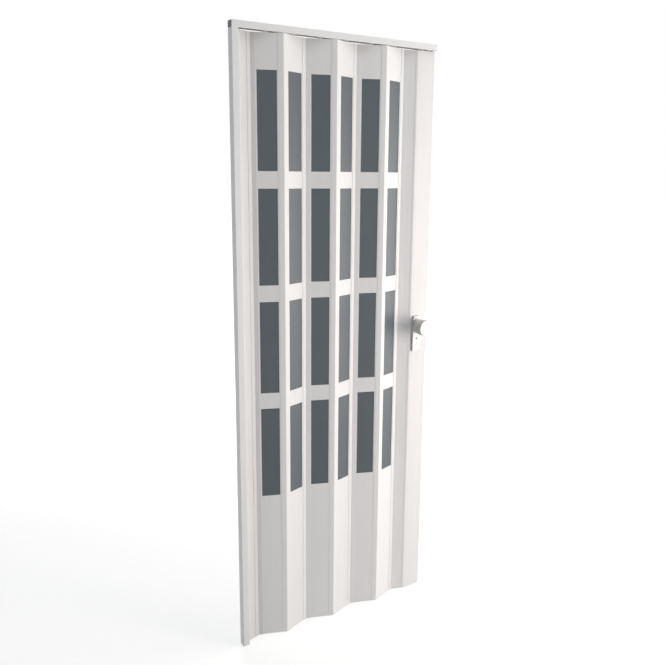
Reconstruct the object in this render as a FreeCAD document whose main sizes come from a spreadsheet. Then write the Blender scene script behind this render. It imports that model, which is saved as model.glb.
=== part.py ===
import FreeCAD, Part
import os
import re
import Sketcher

# Accordion door hung from a head rail between a wall jamb and a lead post.
# Frame: X runs along the rail away from the wall face, Y is the door's depth with the front at minus Y
# and zero in the rail's middle plane, Z is up from the floor. Every size is in millimetres.

SIZES = {
    "overall_height": (2050, "floor to the top of the head rail"),
    "rail_depth": (28, "depth of the head rail and of the wall jamb"),
    "rail_height": (20.5, "height of the head rail"),
    "rail_wall": (1.6, "wall of the head rail's channel"),
    "rail_slot": (16, "width of the slot in the rail's underside"),
    "cap_thickness": (1.5, "face of a rail end cap, pressed between the channel's walls"),
    "cap_plug": (12, "length of an end cap's plug in the channel"),
    "jamb_width": (22.2, "width of the wall jamb seen from the front"),
    "jamb_wall": (1.6, "wall of the jamb's channel"),
    "jamb_mouth": (12, "width of the mouth on the jamb's inner side"),
    "slat_count": (6, "full slats between the two half slats"),
    "slat_pitch": (102.8, "fold line to fold line, measured along a slat"),
    "fold_angle": (19.8, "angle of each slat to the rail, in degrees"),
    "slat_thickness": (6, "thickness of a slat"),
    "floor_gap": (5.5, "floor to the foot of the slats and the post"),
    "head_gap": (2.9, "head of the slats and the post to the rail's underside"),
    "strip_thickness": (8, "thickness of a hinge strip"),
    "strip_reach": (16.25, "fold line to the free edge of a hinge strip"),
    "fold_gap": (5.25, "fold line to the slat's edge inside a hinge strip"),
    "end_reach": (7, "fold line to the free edge of the start and end strips"),
    "end_gap": (4.2, "fold line to the slat's edge inside the start and end strips"),
    "start_gap": (0.35, "jamb's inner face to the first fold line"),
    "lock_thickness": (3, "thickness of the start strip's head inside the jamb"),
    "clearance": (0.3, "gap around each piece that slides or clips in"),
    "window_width": (62.5, "width of a window"),
    "foot_margin": (525.9, "slat's foot to its lowest window"),
    "head_margin": (107.2, "slat's head to its highest window"),
    "lowest_window": (310.6, "height of the lowest window"),
    "highest_window": (301.6, "height of the highest window"),
    "bar_height": (54, "height of a bar between two windows"),
    "pane_groove": (2, "depth of the groove that holds a pane"),
    "pane_thickness": (2.4, "thickness of a pane and width of its groove"),
    "post_width": (73, "width of the lead post"),
    "post_thickness": (8, "thickness of the lead post"),
    "post_nose": (2, "radius on the lead post's closing edge"),
    "plate_left": (3.7, "lead post's first edge to the handle plate"),
    "plate_bottom": (971.4, "floor to the foot of the handle plate"),
    "plate_width": (34.5, "width of a handle plate"),
    "plate_height": (130.9, "height of a handle plate"),
    "plate_thickness": (10, "thickness of a handle plate"),
    "plate_shoulder": (9, "radius of a handle plate's upper corners"),
    "plate_corner": (2, "radius of a handle plate's lower corners"),
    "plate_edge": (1, "radius around a handle plate's face"),
    "knob_level": (1065.5, "floor to the knob's axis"),
    "knob_neck": (15, "radius of the knob's neck on its plate"),
    "neck_length": (9, "length of the knob's neck"),
    "knob_back": (26.5, "radius of the knob behind its flare"),
    "knob_shoulder": (5, "radius that turns the knob's back into its side"),
    "knob_face": (29.4, "radius of the knob's rim"),
    "knob_length": (58.3, "plate to the knob's flat face"),
    "knob_rim": (1.2, "radius around the knob's flat face"),
    "spindle_diameter": (8, "diameter of the spindle that joins both knobs"),
    "spindle_insert": (24, "length of the spindle inside a knob"),
    "spindle_play": (0.1, "gap around the spindle and the key barrel"),
    "barrel_diameter": (6.5, "diameter of the key barrel"),
    "barrel_level": (1019, "floor to the key barrel's axis"),
    "barrel_recess": (1, "depth of the key barrel under the plate's face"),
    "glider_diameter": (20, "diameter of a hanger's head in the rail"),
    "glider_thickness": (4, "thickness of a hanger's head"),
    "collar_diameter": (8, "diameter of a hanger's collar"),
    "collar_thickness": (2, "thickness of a hanger's collar"),
    "pin_diameter": (4, "diameter of a hanger's pin"),
    "pin_depth": (40, "depth of a hanger's pin in the slat"),
    "post_pin_inset": (17, "lead post's first edge to its inner hanger"),
    "screw_diameter": (4.5, "diameter of the fixing holes"),
    "rail_screw_inset": (60, "rail's ends to its outer fixing holes"),
    "rail_screw_pitch": (217, "middle to middle of the rail's inner fixing holes"),
    "jamb_screw_inset": (110, "jamb's ends to its outer fixing holes"),
    "jamb_screw_pitch": (603, "middle to middle of the jamb's inner fixing holes"),
}

# Sizes that follow from the ones above.
DERIVED = {
    "glazed_height": "panel_height - foot_margin - head_margin",
    "middle_window": "(glazed_height - lowest_window - highest_window - 3 * bar_height) / 2",
    "panel_height": "overall_height - rail_height - head_gap - floor_gap",
    "jamb_height": "overall_height - rail_height",
    "fold_run": "slat_pitch * cos(fold_angle)",
    "fold_rise": "slat_pitch * sin(fold_angle) / 2",
    "start_line": "jamb_width + start_gap",
    "post_line": "start_line + fold_run * (slat_count + 1)",
    "door_length": "post_line + post_width",
    "knob_line": "post_line + plate_left + plate_width / 2",
    "plate_face": "post_thickness / 2 + plate_thickness",
    "glider_level": "overall_height - rail_height + rail_wall",
    "outer_pin": "post_width - cap_thickness - cap_plug - clearance - glider_diameter / 2",
}

doc = FreeCAD.newDocument("AccordionDoor")
sheet = doc.addObject("Spreadsheet::Sheet", "Dimensions")
for row, (alias, (value, meaning)) in enumerate(SIZES.items(), start=1):
    sheet.set(f"A{row}", alias)
    sheet.set(f"B{row}", str(value))
    sheet.setAlias(f"B{row}", alias)
    sheet.set(f"C{row}", meaning)
doc.recompute()


def formula(text):
    """Turn the words of a formula into cells of the sheet, derived sizes into their own formulas."""

    def cell(match):
        word = match.group(0)
        if word in DERIVED:
            return f"({formula(DERIVED[word])})"
        return f"Dimensions.{word}" if word in SIZES else word

    return re.sub(r"[a-z][a-z_]*", cell, text)


def measure(text):
    """Work out the present value of a formula."""
    result = sheet.evalExpression(formula(text))
    return float(getattr(result, "Value", result))


def place(item, position, axis=FreeCAD.Vector(0, 0, 1), angle="0"):
    """Put an object at three formulas, turned about an axis by a fourth."""
    base = FreeCAD.Vector(*(measure(text) for text in position))
    item.Placement = FreeCAD.Placement(base, FreeCAD.Rotation(axis, measure(angle)))
    for direction, text in zip("xyz", position):
        item.setExpression(f"Placement.Base.{direction}", formula(text))
    if angle != "0":
        item.setExpression("Placement.Rotation.Angle", formula(angle))


def new_body(label):
    """Start a body whose label names its file."""
    body = doc.addObject("PartDesign::Body", label)
    body.Label = label
    return body


def new_sketch(body, name, plane, offset=None, angle=None):
    """Put an empty sketch on a plane of the body's own origin, moved along and turned in that plane."""
    sketch = body.newObject("Sketcher::SketchObject", name)
    support = next(item for item in body.Origin.OriginFeatures if item.Role == plane)
    sketch.AttachmentSupport = (support, [""])
    sketch.MapMode = "FlatFace"
    turn = measure(angle) if angle else 0
    shift = [measure(text) for text in offset] if offset else [0, 0, 0]
    spin = FreeCAD.Rotation(FreeCAD.Vector(0, 0, 1), turn)
    sketch.AttachmentOffset = FreeCAD.Placement(FreeCAD.Vector(*shift), spin)
    if angle:
        sketch.setExpression("AttachmentOffset.Rotation.Angle", formula(angle))
    for direction, text in zip("xyz", offset or []):
        sketch.setExpression(f"AttachmentOffset.Base.{direction}", formula(text))
    return sketch


def pin_point(sketch, geometry, end, name, across, up):
    """Tie one point of a sketch to two formulas, or to an axis where a formula is zero."""
    for kind, axis, text in (("DistanceX", -2, across), ("DistanceY", -1, up)):
        if text == "0":
            sketch.addConstraint(Sketcher.Constraint("PointOnObject", geometry, end, axis))
            continue
        limit = Sketcher.Constraint(kind, -1, 1, geometry, end, measure(text))
        index = sketch.addConstraint(limit)
        label = f"{name}_{kind[-1].lower()}"
        sketch.renameConstraint(index, label)
        sketch.setExpression(f"Constraints.{label}", formula(text))


def draw_outline(sketch, corners, name="corner"):
    """Draw a closed outline of straight edges through corners given as pairs of formulas."""
    points = [FreeCAD.Vector(measure(x), measure(y), 0) for x, y in corners]
    first = sketch.GeometryCount
    count = len(points)
    for index in range(count):
        edge = Part.LineSegment(points[index], points[(index + 1) % count])
        sketch.addGeometry(edge, False)
    for index in range(count):
        following = first + (index + 1) % count
        joint = Sketcher.Constraint("Coincident", first + index, 2, following, 1)
        sketch.addConstraint(joint)
    for index, (across, up) in enumerate(corners):
        pin_point(sketch, first + index, 1, f"{name}_{index}", across, up)


def draw_rectangle(sketch, left, right, bottom, top, name="corner"):
    """Draw a rectangle between four formulas."""
    corners = [(left, bottom), (right, bottom), (right, top), (left, top)]
    draw_outline(sketch, corners, name)


def draw_circle(sketch, across, up, diameter, name="ring"):
    """Draw a circle at two formulas with a diameter from a third."""
    centre = FreeCAD.Vector(measure(across), measure(up), 0)
    ring = Part.Circle(centre, FreeCAD.Vector(0, 0, 1), measure(diameter) / 2)
    index = sketch.addGeometry(ring, False)
    limit = sketch.addConstraint(Sketcher.Constraint("Diameter", index, measure(diameter)))
    sketch.renameConstraint(limit, f"{name}_diameter")
    sketch.setExpression(f"Constraints.{name}_diameter", formula(diameter))
    pin_point(sketch, index, 3, name, across, up)


def pad(body, sketch, length, middle=False):
    """Raise a sketch by a formula, to both sides of its plane where middle is set."""
    feature = body.newObject("PartDesign::Pad", f"{sketch.Name}_pad")
    feature.Profile = sketch
    feature.Midplane = middle
    feature.Length = measure(length)
    feature.setExpression("Length", formula(length))
    doc.recompute()
    return feature


def cut(body, sketch, length, middle=False, reverse=False):
    """Sink a sketch into the body by a formula and make sure that it takes material away."""
    before = body.Shape.Volume
    feature = body.newObject("PartDesign::Pocket", f"{sketch.Name}_cut")
    feature.Profile = sketch
    feature.Midplane = middle
    feature.Reversed = reverse
    feature.Length = measure(length)
    feature.setExpression("Length", formula(length))
    doc.recompute()
    if body.Shape.Volume >= before:
        raise ValueError(f"{feature.Name} takes nothing away")
    return feature


def round_edges(body, radius, chosen):
    """Round the edges of the body's last feature for which chosen says yes."""
    last = body.Tip
    names = [f"Edge{i}" for i, edge in enumerate(last.Shape.Edges, start=1) if chosen(edge)]
    feature = body.newObject("PartDesign::Fillet", f"{last.Name}_round")
    feature.Base = (last, names)
    feature.Radius = measure(radius)
    feature.setExpression("Radius", formula(radius))
    doc.recompute()
    return feature


def channel_corners(height, depth, wall, mouth):
    """Corners of a channel with its web on the Y axis and its mouth facing plus X."""
    lip = f"{height} - {wall}"
    side = f"({depth}) / 2"
    inner = f"({side} - {wall})"
    gap = f"({mouth}) / 2"
    lower = [("0", f"-{side}"), (height, f"-{side}"), (height, f"-{gap}"), (lip, f"-{gap}")]
    lower += [(lip, f"-{inner}"), (wall, f"-{inner}")]
    upper = [(across, up[1:]) for across, up in reversed(lower)]
    return lower + upper


def fold_position(index):
    """Formulas of fold line number index, counted from zero; even folds lie to the back."""
    sign = "" if index % 2 == 0 else "-"
    return f"start_line + fold_run * ({index} + 0.5)", f"{sign}fold_rise"


def clockwise(back_fold):
    """Axis that turns a slat to the front after a back fold and to the back after a front fold."""
    return FreeCAD.Vector(0, 0, -1 if back_fold else 1)


def add_bar(body, name, left, right, width, **turned):
    """Pad an upright bar of the panels' height, centred on the line from left to right."""
    sketch = new_sketch(body, name, "XY_Plane", **turned)
    draw_rectangle(sketch, left, right, f"-({width}) / 2", f"({width}) / 2")
    pad(body, sketch, "panel_height")


def add_grip(body, name, gap, reach, **turned):
    """Pad one arm of a hinge strip: two lips that hold a slat's edge, and the web behind it."""
    half, inner = "strip_thickness / 2", "slat_thickness / 2"
    corners = [("0", f"-{half}"), (reach, f"-{half}"), (reach, f"-{inner}"), (gap, f"-{inner}")]
    corners += [(gap, inner), (reach, inner), (reach, half), ("0", half)]
    sketch = new_sketch(body, name, "XY_Plane", **turned)
    draw_outline(sketch, corners)
    pad(body, sketch, "panel_height")


def add_fold(body, name, across="0"):
    """Pad the rounded core of a hinge strip on its fold line."""
    sketch = new_sketch(body, name, "XY_Plane")
    draw_circle(sketch, across, "0", "strip_thickness")
    pad(body, sketch, "panel_height")


def make_rail():
    """Head rail: a channel that opens downwards, with fixing holes in its web."""
    body = new_body("head_rail")
    section = new_sketch(body, "rail_section", "XY_Plane")
    draw_outline(section, channel_corners("rail_height", "rail_depth", "rail_wall", "rail_slot"))
    pad(body, section, "door_length")
    holes = new_sketch(body, "rail_holes", "YZ_Plane")
    half_pitch = "rail_screw_pitch / 2"
    levels = ["rail_screw_inset", "door_length - rail_screw_inset"]
    levels += [f"door_length / 2 - {half_pitch}", f"door_length / 2 + {half_pitch}"]
    for number, level in enumerate(levels):
        draw_circle(holes, "0", level, "screw_diameter", f"hole_{number}")
    cut(body, holes, "rail_wall", reverse=True)
    place(body, ("0", "0", "overall_height"), FreeCAD.Vector(0, 1, 0), "90")
    return body


def make_cap(label, at_wall):
    """End cap of the head rail: a face flush between the channel's walls and a looser plug behind it."""
    face = doc.addObject("Part::Box", f"{label}_face")
    plug = doc.addObject("Part::Box", f"{label}_plug")
    face_start = "0" if at_wall else "door_length - cap_thickness"
    plug_start = "cap_thickness" if at_wall else "door_length - cap_thickness - cap_plug"
    side = "(rail_depth / 2 - rail_wall)"
    loose = f"({side} - clearance)"
    shapes = {
        face: ("cap_thickness", f"2 * {side}", "rail_height - 2 * rail_wall"),
        plug: ("cap_plug", f"2 * {loose}", "rail_height - 2 * (rail_wall + clearance)"),
    }
    for box, sides in shapes.items():
        for length, text in zip(("Length", "Width", "Height"), sides):
            box.setExpression(length, formula(text))
    place(face, (face_start, f"-{side}", "glider_level"))
    place(plug, (plug_start, f"-{loose}", "glider_level + clearance"))
    cap = doc.addObject("Part::Fuse", label)
    cap.Base, cap.Tool = face, plug
    cap.Label = label
    return cap


def make_jamb():
    """Wall jamb: a channel that stands on the floor and opens towards the slats."""
    body = new_body("wall_jamb")
    section = new_sketch(body, "jamb_section", "XY_Plane")
    draw_outline(section, channel_corners("jamb_width", "rail_depth", "jamb_wall", "jamb_mouth"))
    pad(body, section, "jamb_height")
    holes = new_sketch(body, "jamb_holes", "YZ_Plane")
    half_pitch = "jamb_screw_pitch / 2"
    levels = ["jamb_screw_inset", "jamb_height - jamb_screw_inset"]
    levels += [f"jamb_height / 2 - {half_pitch}", f"jamb_height / 2 + {half_pitch}"]
    for number, level in enumerate(levels):
        draw_circle(holes, "0", level, "screw_diameter", f"hole_{number}")
    cut(body, holes, "jamb_wall", reverse=True)
    return body


def window_spans():
    """Formulas for the foot and head of each window, measured from a slat's foot."""
    foot, head = "foot_margin", "panel_height - head_margin"
    second = f"{foot} + lowest_window + bar_height"
    third = f"{second} + middle_window + bar_height"
    spans = [(foot, f"{foot} + lowest_window"), (second, f"{second} + middle_window")]
    spans += [(third, f"{third} + middle_window"), (f"{head} - highest_window", head)]
    return spans


def make_slat(number):
    """Glazed slat: an upright board with four windows, a pane groove and a hanger's hole."""
    body = new_body(f"slat_{number}")
    outline = new_sketch(body, f"slat_{number}_outline", "XZ_Plane")
    draw_rectangle(outline, "fold_gap", "slat_pitch - fold_gap", "0", "panel_height")
    left, right = "(slat_pitch - window_width) / 2", "(slat_pitch + window_width) / 2"
    for window, (foot, head) in enumerate(window_spans()):
        draw_rectangle(outline, left, right, foot, head, f"window_{window}")
    pad(body, outline, "slat_thickness", middle=True)
    groove = new_sketch(body, f"slat_{number}_groove", "XZ_Plane")
    sides = (f"{left} - pane_groove", f"{right} + pane_groove")
    ends = ("foot_margin - pane_groove", "panel_height - head_margin + pane_groove")
    draw_rectangle(groove, *sides, *ends)
    cut(body, groove, "pane_thickness", middle=True)
    hole = new_sketch(body, f"slat_{number}_hole", "XY_Plane", offset=("0", "0", "panel_height"))
    draw_circle(hole, "slat_pitch / 2", "0", "pin_diameter")
    cut(body, hole, "pin_depth")
    across, depth = fold_position(number - 1)
    place(body, (across, depth, "floor_gap"), clockwise(number % 2 == 1), "fold_angle")
    return body


def make_pane(number):
    """Pane of a glazed slat: one long sheet in the groove behind the bars."""
    body = new_body(f"pane_{number}")
    edge = "(pane_groove - clearance)"
    outline = new_sketch(body, f"pane_{number}_outline", "XZ_Plane")
    left = f"(slat_pitch - window_width) / 2 - {edge}"
    right = f"(slat_pitch + window_width) / 2 + {edge}"
    foot, head = f"foot_margin - {edge}", f"panel_height - head_margin + {edge}"
    draw_rectangle(outline, left, right, foot, head)
    pad(body, outline, "pane_thickness", middle=True)
    across, depth = fold_position(number - 1)
    place(body, (across, depth, "floor_gap"), clockwise(number % 2 == 1), "fold_angle")
    return body


def make_half_slat(label, left, right, across, depth, back_fold):
    """Plain half slat between a fold line and one end of the zigzag."""
    body = new_body(label)
    add_bar(body, f"{label}_section", left, right, "slat_thickness")
    place(body, (across, depth, "floor_gap"), clockwise(back_fold), "fold_angle")
    return body


def make_strip(index):
    """Hinge strip on a fold line: two arms that hold the slats' edges and a rounded core."""
    label = f"hinge_strip_{index + 1}"
    body = new_body(label)
    toward_front = "-fold_angle"
    add_grip(body, f"{label}_right", "fold_gap", "strip_reach", angle=toward_front)
    add_grip(body, f"{label}_left", "fold_gap", "strip_reach", angle="180 + fold_angle")
    add_fold(body, f"{label}_core")
    across, depth = fold_position(index)
    turn = "0" if index % 2 == 0 else "180"
    place(body, (across, depth, "floor_gap"), angle=turn)
    return body


def make_start_strip():
    """Start strip: a head and neck clipped into the jamb, and a short arm for the first slat."""
    body = new_body("start_strip")
    back = "jamb_wall + clearance"
    head_width = "rail_depth - 2 * (jamb_wall + clearance)"
    add_bar(body, "start_head", back, f"{back} + lock_thickness", head_width)
    add_bar(body, "start_neck", back, "start_line", "strip_thickness")
    add_fold(body, "start_core", "start_line")
    turned = {"offset": ("start_line", "0", "0"), "angle": "fold_angle"}
    add_grip(body, "start_arm", "end_gap", "end_reach", **turned)
    place(body, ("0", "0", "floor_gap"))
    return body


def make_end_strip():
    """End strip: short arms for the last slat and for the lead post's tongue."""
    body = new_body("end_strip")
    add_grip(body, "end_slat_arm", "end_gap", "end_reach", angle="180 - fold_angle")
    add_grip(body, "end_post_arm", "end_gap", "end_reach")
    add_fold(body, "end_core")
    place(body, ("post_line", "0", "floor_gap"))
    return body


def make_post():
    """Lead post: a board with a tongue for the end strip and a rounded closing edge."""
    body = new_body("lead_post")
    half, tongue = "post_thickness / 2", "slat_thickness / 2"
    corners = [("end_gap", f"-{tongue}"), ("end_reach", f"-{tongue}"), ("end_reach", f"-{half}")]
    corners += [("post_width", f"-{half}"), ("post_width", half), ("end_reach", half)]
    corners += [("end_reach", tongue), ("end_gap", tongue)]
    section = new_sketch(body, "post_section", "XY_Plane")
    draw_outline(section, corners)
    pad(body, section, "panel_height")
    width, height = measure("post_width"), measure("panel_height")

    def on_nose(edge):
        return edge.BoundBox.XMin > width - 0.01 and edge.Length > height - 0.01

    round_edges(body, "post_nose", on_nose)
    bores = new_sketch(body, "post_bores", "XZ_Plane")
    across = "plate_left + plate_width / 2"
    play = "2 * spindle_play"
    draw_circle(bores, across, "knob_level - floor_gap", f"spindle_diameter + {play}", "spindle")
    draw_circle(bores, across, "barrel_level - floor_gap", f"barrel_diameter + {play}", "barrel")
    cut(body, bores, "2 * post_thickness", middle=True)
    holes = new_sketch(body, "post_holes", "XY_Plane", offset=("0", "0", "panel_height"))
    draw_circle(holes, "post_pin_inset", "0", "pin_diameter", "first")
    draw_circle(holes, "outer_pin", "0", "pin_diameter", "second")
    cut(body, holes, "pin_depth")
    place(body, ("post_line", "0", "floor_gap"))
    return body


def make_plate(label, front):
    """Handle plate with rounded shoulders, bored for the spindle and the key barrel."""
    body = new_body(label)
    outline = new_sketch(body, f"{label}_outline", "XZ_Plane")
    draw_rectangle(outline, "0", "plate_width", "0", "plate_height")
    pad(body, outline, "plate_thickness")
    height, depth = measure("plate_height"), measure("plate_thickness")

    def through(edge):
        return edge.BoundBox.YLength > depth - 0.01

    def on_shoulder(edge):
        return through(edge) and edge.BoundBox.ZMin > height - 0.01

    def on_corner(edge):
        return through(edge) and edge.BoundBox.ZMax < 0.01

    def on_face(edge):
        return edge.BoundBox.YMax < 0.01 - depth

    round_edges(body, "plate_shoulder", on_shoulder)
    round_edges(body, "plate_corner", on_corner)
    round_edges(body, "plate_edge", on_face)
    bores = new_sketch(body, f"{label}_bores", "XZ_Plane")
    across, play = "plate_width / 2", "2 * spindle_play"
    draw_circle(bores, across, "knob_level - plate_bottom", f"spindle_diameter + {play}", "spindle")
    draw_circle(bores, across, "barrel_level - plate_bottom", f"barrel_diameter + {play}", "barrel")
    cut(body, bores, "3 * plate_thickness", middle=True)
    side = "post_line + plate_left" if front else "post_line + plate_left + plate_width"
    depth_text = "-post_thickness / 2" if front else "post_thickness / 2"
    place(body, (side, depth_text, "plate_bottom"), angle="0" if front else "180")
    return body


def make_knob(label, front):
    """Round knob: a neck on the plate, a side that flares to a flat face, a bore for the spindle."""
    body = new_body(label)
    bore = "spindle_diameter / 2 + spindle_play"
    depth = "spindle_insert + spindle_play"
    corners = [(bore, "0"), ("knob_neck", "0"), ("knob_neck", "neck_length")]
    corners += [("knob_back", "neck_length"), ("knob_face", "knob_length"), ("0", "knob_length")]
    corners += [("0", depth), (bore, depth)]
    section = new_sketch(body, f"{label}_section", "XZ_Plane")
    draw_outline(section, corners)
    feature = body.newObject("PartDesign::Revolution", f"{label}_turned")
    feature.Profile = section
    feature.ReferenceAxis = (section, ["V_Axis"])
    feature.Angle = 360
    doc.recompute()
    neck, back, length = measure("neck_length"), measure("knob_back"), measure("knob_length")

    def on_rim(edge):
        return edge.BoundBox.ZMin > length - 0.01 and edge.BoundBox.XLength > back

    def on_back(edge):
        flat = abs(edge.BoundBox.ZMin - neck) < 0.01 and abs(edge.BoundBox.ZMax - neck) < 0.01
        return flat and abs(edge.BoundBox.XMax - back) < 0.1

    round_edges(body, "knob_rim", on_rim)
    round_edges(body, "knob_shoulder", on_back)
    depth_text = "-plate_face" if front else "plate_face"
    across = FreeCAD.Vector(1 if front else -1, 0, 0)
    place(body, ("knob_line", depth_text, "knob_level"), across, "90")
    return body


def make_rod(label, diameter, half_length, level):
    """Round rod along Y through the lead post and both plates, on the knobs' line."""
    rod = doc.addObject("Part::Cylinder", label)
    rod.Label = label
    rod.setExpression("Radius", formula(f"{diameter} / 2"))
    rod.setExpression("Height", formula(f"2 * ({half_length})"))
    place(rod, ("knob_line", half_length, level), FreeCAD.Vector(1, 0, 0), "90")
    return rod


def make_hanger(label, across):
    """Hanger: a head that glides on the rail's lips, a stem, a collar on the slat and a pin in it."""
    top = "floor_gap + panel_height"
    pieces = {
        "head": ("glider_diameter", "glider_thickness", "glider_level"),
        "collar": ("collar_diameter", "collar_thickness", top),
        "stem": ("pin_diameter", f"pin_depth + glider_level - ({top})", f"{top} - pin_depth"),
    }
    solids = []
    for name, (diameter, height, level) in pieces.items():
        solid = doc.addObject("Part::Cylinder", f"{label}_{name}")
        solid.setExpression("Radius", formula(f"{diameter} / 2"))
        solid.setExpression("Height", formula(height))
        place(solid, (across, "0", level))
        solids.append(solid)
    hanger = doc.addObject("Part::MultiFuse", label)
    hanger.Shapes = solids
    hanger.Label = label
    return hanger


def make_door():
    """Build every sub-part and give them in the order of the door, from the wall to the post."""
    slats = int(measure("slat_count"))
    nodes = [make_rail(), make_cap("rail_cap_wall", True), make_cap("rail_cap_free", False)]
    nodes += [make_jamb(), make_start_strip()]
    half = "slat_pitch / 2"
    span = ("end_gap", f"{half} - fold_gap")
    nodes.append(make_half_slat("start_half_slat", *span, "start_line", "0", False))
    for number in range(1, slats + 1):
        nodes += [make_strip(number - 1), make_slat(number), make_pane(number)]
        middle = f"start_line + fold_run * {number}"
        nodes.append(make_hanger(f"hanger_{number}", middle))
    nodes.append(make_strip(slats))
    span = ("fold_gap", f"{half} - end_gap")
    across, depth = fold_position(slats)
    nodes.append(make_half_slat("end_half_slat", *span, across, depth, slats % 2 == 0))
    nodes += [make_end_strip(), make_post()]
    nodes.append(make_hanger("post_hanger_inner", "post_line + post_pin_inset"))
    nodes.append(make_hanger("post_hanger_outer", "post_line + outer_pin"))
    nodes += [make_plate("front_plate", True), make_plate("back_plate", False)]
    nodes += [make_knob("front_knob", True), make_knob("back_knob", False)]
    nodes.append(make_rod("spindle", "spindle_diameter", "plate_face + spindle_insert", "knob_level"))
    recess = "plate_face - barrel_recess"
    nodes.append(make_rod("key_barrel", "barrel_diameter", recess, "barrel_level"))
    return nodes


def write(nodes):
    """Check every object and write one file for each sub-part."""
    for item in doc.Objects:
        if "Invalid" in item.State or "Error" in item.State:
            raise ValueError(f"{item.Name} is {item.State}")
    for node in nodes:
        if node.Shape.isNull() or not node.Shape.isValid():
            raise ValueError(f"{node.Label} has no valid shape")
    os.makedirs("parts", exist_ok=True)
    for node in nodes:
        node.Shape.exportStep(os.path.join("parts", f"{node.Label}.step"))
        box = node.Shape.BoundBox
        extent = " ".join(f"{v:.1f}" for v in (box.XMin, box.XMax, box.YMin, box.YMax, box.ZMin, box.ZMax))
        print(node.Label, len(node.Shape.Solids), f"{node.Shape.Volume:.0f}", extent)


door = make_door()
doc.recompute()
write(door)
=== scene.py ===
"""Accordion door of glazed slats that folds between a wall jamb and a lead post.

Every length is in metres. X runs along the head rail away from the wall face, Y is the door's depth with
its front at minus Y and zero in the rail's middle plane, and Z is up from the floor.
"""

import logging
import math
from collections.abc import Callable, Iterator, Mapping, Sequence
from dataclasses import dataclass, replace
from enum import Enum
from functools import cache
from itertools import product
from typing import Any

import bmesh
import bpy
from mathutils import Matrix, Vector


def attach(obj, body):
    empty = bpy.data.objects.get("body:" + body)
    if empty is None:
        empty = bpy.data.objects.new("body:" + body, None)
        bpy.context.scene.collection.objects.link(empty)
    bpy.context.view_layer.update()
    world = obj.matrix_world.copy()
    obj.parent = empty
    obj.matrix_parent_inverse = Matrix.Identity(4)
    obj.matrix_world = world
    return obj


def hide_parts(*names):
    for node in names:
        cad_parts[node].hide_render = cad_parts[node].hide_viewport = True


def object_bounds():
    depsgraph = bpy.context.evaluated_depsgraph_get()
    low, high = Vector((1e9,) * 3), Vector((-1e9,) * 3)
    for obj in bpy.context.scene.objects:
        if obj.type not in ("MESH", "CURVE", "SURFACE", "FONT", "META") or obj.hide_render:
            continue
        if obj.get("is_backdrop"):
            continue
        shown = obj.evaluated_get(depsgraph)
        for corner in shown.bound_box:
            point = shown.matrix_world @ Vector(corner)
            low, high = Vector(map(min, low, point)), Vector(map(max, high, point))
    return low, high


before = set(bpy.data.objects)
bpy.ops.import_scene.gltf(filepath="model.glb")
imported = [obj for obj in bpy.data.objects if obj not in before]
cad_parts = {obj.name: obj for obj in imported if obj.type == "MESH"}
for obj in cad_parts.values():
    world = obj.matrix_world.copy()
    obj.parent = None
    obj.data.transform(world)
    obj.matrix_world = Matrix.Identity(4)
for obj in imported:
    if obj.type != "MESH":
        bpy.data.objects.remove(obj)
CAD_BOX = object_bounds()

LOG = logging.getLogger("accordion_door")
MM = 0.001
BODY = "root"
TOUCH = 0.001 * MM
# Share of a side that the rounding of one corner may take.
MOST_CUT = 0.49
# Angles between faces above which an edge is rounded, and above which it is shaded as sharp.
EASED_ABOVE = math.radians(50)
SHARP_ABOVE = math.radians(40)

Colour = tuple[float, float, float]
Point = tuple[float, float]
Outline = list[Point]

BLACK: Colour = (0.0, 0.0, 0.0)
WHITE: Colour = (1.0, 1.0, 1.0)
# The Mix node's colour sockets, whose names aren't theirs alone: factor, first, second and result.
MIX_SOCKETS = (0, 6, 7, 2)


class Grain(Enum):
    """The way an extrusion was drawn, which its fine lines follow."""

    UPRIGHT = (1.0, 1.0, 0.012)
    ALONG_RAIL = (0.012, 1.0, 1.0)


class Side(Enum):
    """A face of the door, with the turn about the vertical that brings a front fitting to it."""

    FRONT = 0.0
    BACK = math.pi


class Signal:
    """A socket's value in arithmetic: each operator adds the node that works it out."""

    def __init__(self, graph: "Graph", socket: bpy.types.NodeSocket) -> None:
        """Wrap a socket of a graph."""
        self.graph = graph
        self.socket = socket

    def _worked(self, operation: str, first: "Signal | float", second: "Signal | float") -> "Signal":
        """Add a Math node.

        Args:
            operation: the node's operation.
            first: its first value or link.
            second: its second value or link.

        Returns:
            The node's result.
        """
        return self.graph.add("ShaderNodeMath", {"operation": operation}, {0: first, 1: second})

    def __add__(self, other: "Signal | float") -> "Signal":
        """Add a value."""
        return self._worked("ADD", self, other)

    def __radd__(self, other: float) -> "Signal":
        """Add to a value."""
        return self._worked("ADD", other, self)

    def __sub__(self, other: "Signal | float") -> "Signal":
        """Take a value away."""
        return self._worked("SUBTRACT", self, other)

    def __rsub__(self, other: float) -> "Signal":
        """Take from a value."""
        return self._worked("SUBTRACT", other, self)

    def __mul__(self, other: "Signal | float") -> "Signal":
        """Multiply by a value."""
        return self._worked("MULTIPLY", self, other)

    def __rmul__(self, other: float) -> "Signal":
        """Multiply a value."""
        return self._worked("MULTIPLY", other, self)

    def larger(self, other: "Signal | float") -> "Signal":
        """Keep the larger of two values."""
        return self._worked("MAXIMUM", self, other)

    def eased(self, low: float, high: float) -> "Signal":
        """Rise smoothly from 0 at low to 1 at high."""
        ends = {"Value": self, "From Min": low, "From Max": high}
        return self.graph.add("ShaderNodeMapRange", {"interpolation_type": "SMOOTHSTEP"}, ends)


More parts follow.
